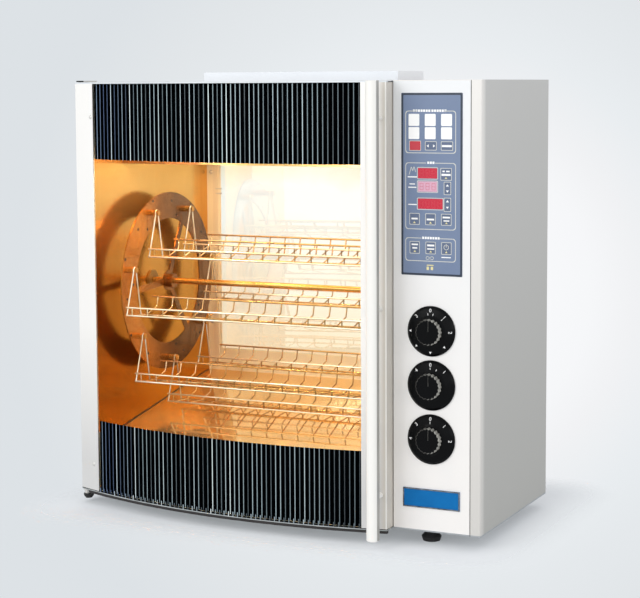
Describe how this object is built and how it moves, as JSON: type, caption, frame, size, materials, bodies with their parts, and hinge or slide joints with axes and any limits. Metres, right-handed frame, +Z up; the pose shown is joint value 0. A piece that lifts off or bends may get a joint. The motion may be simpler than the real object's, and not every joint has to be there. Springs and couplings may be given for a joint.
{
  "type": "rotisserie convection oven",
  "caption": "Free-standing electric rotisserie oven with a bowed glass door, hanging wire baskets on a rotor, and a control column with keypad and dial knobs.",
  "frame": {"origin": "centre of the footprint, on the surface the feet stand on", "axes": "+Z up, -Y towards the door and controls, +X towards the control column"},
  "size_m": [0.984, 0.714, 0.979],
  "materials": {
    "badge": "plain blue enamel, bare",
    "black_plastic": "satin black plastic",
    "board": "solder masked circuit board",
    "bronze": "sintered bronze",
    "cast": "die cast housing",
    "ceramic_white": "ceramic holder",
    "clear_glass": "clear tempered glass",
    "element": "oxidised element sheath",
    "galvanised": "zinc coated sheet",
    "keypad_foil": "printed polyester foil",
    "lamp_glass": "clear lamp dome",
    "polished_stainless": "bright rolled stainless sheet",
    "red_lens": "tinted display window",
    "rotor_steel": "stainless plate, heat tinted",
    "rubber_black": "moulded rubber",
    "silicone": "silicone profile",
    "stainless": "brushed stainless sheet",
    "white_plastic": "satin white extrusion",
    "white_steel": "semi gloss light grey powder coat",
    "wire_steel": "bright stainless wire",
    "wool": "mineral wool"
  },
  "bodies": {
    "oven": {"back_panel": "stainless", "badge_plate": "badge", "base_plate": "galvanised", "cable_gland": "black_plastic", "cavity_ceiling": "polished_stainless", "cavity_floor": "polished_stainless", "ceiling_baffle": "polished_stainless", "chamber_front_frame": "stainless", "column_partition": "galvanised", "control_back_panel": "white_steel", "control_board": "board", "control_fascia": "white_steel", "control_side_panel": "white_steel", "display_lenses": "red_lens", "door_hinges": "stainless", "drive_motor": "cast", "fan_motor": "cast", "feet": "rubber_black", "heater_brackets": "stainless", "heating_elements": "element", "insulation": "wool", "keypad_overlay": "keypad_foil", "lamp_covers": "lamp_glass", "lamp_sockets": "ceramic_white", "left_liner": "polished_stainless", "left_side_panel": "white_steel", "rear_glass": "clear_glass", "rear_glass_frame": "stainless", "right_liner": "polished_stainless", "rotor_bearings": "bronze", "selector_switch": "black_plastic", "temperature_probe": "stainless", "thermostat_body": "black_plastic", "timer_body": "black_plastic", "top_panel": "white_steel", "vent_cover": "white_steel"},
    "door": {"door_glass": "clear_glass", "door_left_stile": "stainless", "door_right_stile": "stainless", "door_top_cap": "stainless", "door_bottom_cap": "stainless", "door_inner_frame": "stainless", "door_gasket": "silicone", "door_bottom_seal": "silicone", "door_handle": "white_plastic"},
    "rotor": {"left_drive_ring": "rotor_steel", "right_drive_ring": "rotor_steel", "main_shaft": "rotor_steel", "basket_pins": "rotor_steel"},
    "fan": {"fan_wheel": "stainless"},
    "upper_knob": {"upper_knob": "black_plastic"},
    "middle_knob": {"middle_knob": "black_plastic"},
    "lower_knob": {"lower_knob": "black_plastic"},
    "basket_1": {"basket_1": "wire_steel"},
    "basket_2": {"basket_2": "wire_steel"},
    "basket_3": {"basket_3": "wire_steel"},
    "basket_4": {"basket_4": "wire_steel"},
    "basket_5": {"basket_5": "wire_steel"},
    "basket_6": {"basket_6": "wire_steel"},
    "basket_7": {"basket_7": "wire_steel"}
  },
  "joints": [
    {"name": "door_hinge", "type": "hinge", "parent": "oven", "child": "door", "pos_m": [-0.483, -0.23148, 0.495], "axis": [0, 0, -1], "range_deg": [0, 110]},
    {"name": "rotor_spin", "type": "hinge", "parent": "oven", "child": "rotor", "pos_m": [-0.0995, 0.02752, 0.48767], "axis": [1, 0, 0], "continuous": true},
    {"name": "fan_spin", "type": "hinge", "parent": "oven", "child": "fan", "pos_m": [-0.098, 0.02752, 0.89], "axis": [0, 0, 1], "continuous": true},
    {"name": "upper_knob_turn", "type": "hinge", "parent": "oven", "child": "upper_knob", "pos_m": [0.3845, -0.27248, 0.449], "axis": [0, 1, 0], "range_deg": [0, 300]},
    {"name": "middle_knob_turn", "type": "hinge", "parent": "oven", "child": "middle_knob", "pos_m": [0.3845, -0.27248, 0.337], "axis": [0, 1, 0], "range_deg": [0, 300]},
    {"name": "lower_knob_turn", "type": "hinge", "parent": "oven", "child": "lower_knob", "pos_m": [0.3845, -0.27248, 0.225], "axis": [0, 1, 0], "range_deg": [0, 270]},
    {"name": "basket_1_swing", "type": "hinge", "parent": "rotor", "child": "basket_1", "pos_m": [-0.0995, -0.05168, 0.65522], "axis": [1, 0, 0], "continuous": true},
    {"name": "basket_2_swing", "type": "hinge", "parent": "rotor", "child": "basket_2", "pos_m": [-0.0995, 0.10914, 0.65406], "axis": [1, 0, 0], "continuous": true},
    {"name": "basket_3_swing", "type": "hinge", "parent": "rotor", "child": "basket_3", "pos_m": [-0.0995, 0.20849, 0.5276], "axis": [1, 0, 0], "continuous": true},
    {"name": "basket_4_swing", "type": "hinge", "parent": "rotor", "child": "basket_4", "pos_m": [-0.0995, 0.17158, 0.37108], "axis": [1, 0, 0], "continuous": true},
    {"name": "basket_5_swing", "type": "hinge", "parent": "rotor", "child": "basket_5", "pos_m": [-0.0995, 0.02618, 0.30235], "axis": [1, 0, 0], "continuous": true},
    {"name": "basket_6_swing", "type": "hinge", "parent": "rotor", "child": "basket_6", "pos_m": [-0.0995, -0.1182, 0.37318], "axis": [1, 0, 0], "continuous": true},
    {"name": "basket_7_swing", "type": "hinge", "parent": "rotor", "child": "basket_7", "pos_m": [-0.0995, -0.15285, 0.53022], "axis": [1, 0, 0], "continuous": true}
  ],
  "couplings": [
    {"joint": "basket_1_swing", "follows": "rotor_spin", "ratio": -1},
    {"joint": "basket_2_swing", "follows": "rotor_spin", "ratio": -1},
    {"joint": "basket_3_swing", "follows": "rotor_spin", "ratio": -1},
    {"joint": "basket_4_swing", "follows": "rotor_spin", "ratio": -1},
    {"joint": "basket_5_swing", "follows": "rotor_spin", "ratio": -1},
    {"joint": "basket_6_swing", "follows": "rotor_spin", "ratio": -1},
    {"joint": "basket_7_swing", "follows": "rotor_spin", "ratio": -1}
  ]
}
